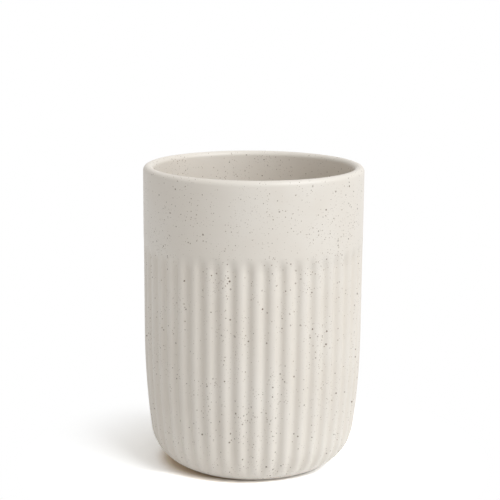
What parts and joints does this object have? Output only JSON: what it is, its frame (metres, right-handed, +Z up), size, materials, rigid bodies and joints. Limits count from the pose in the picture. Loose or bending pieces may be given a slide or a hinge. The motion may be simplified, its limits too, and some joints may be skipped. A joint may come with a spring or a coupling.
{
  "type": "toothbrush holder",
  "caption": "Speckled stoneware toothbrush tumbler with a plain round-lipped collar, soft vertical flutes below it, a rounded base and small non-slip pads under the foot.",
  "frame": {"origin": "on the surface it stands on, under the middle of the tumbler", "axes": "+Z up along the tumbler's axis, -Y towards the front of the picture, two degrees off its line of sight; the middle of a flute faces along -Y and along every other level row axis"},
  "size_m": [0.09, 0.09, 0.125],
  "materials": {
    "stoneware": "satin-matte cream glaze with fine brown iron speckle",
    "pad_silicone": "cloudy soft silicone"
  },
  "bodies": {
    "root": {"tumbler": "stoneware", "foot_pad_1": "pad_silicone", "foot_pad_2": "pad_silicone", "foot_pad_3": "pad_silicone", "foot_pad_4": "pad_silicone"}
  },
  "joints": []
}
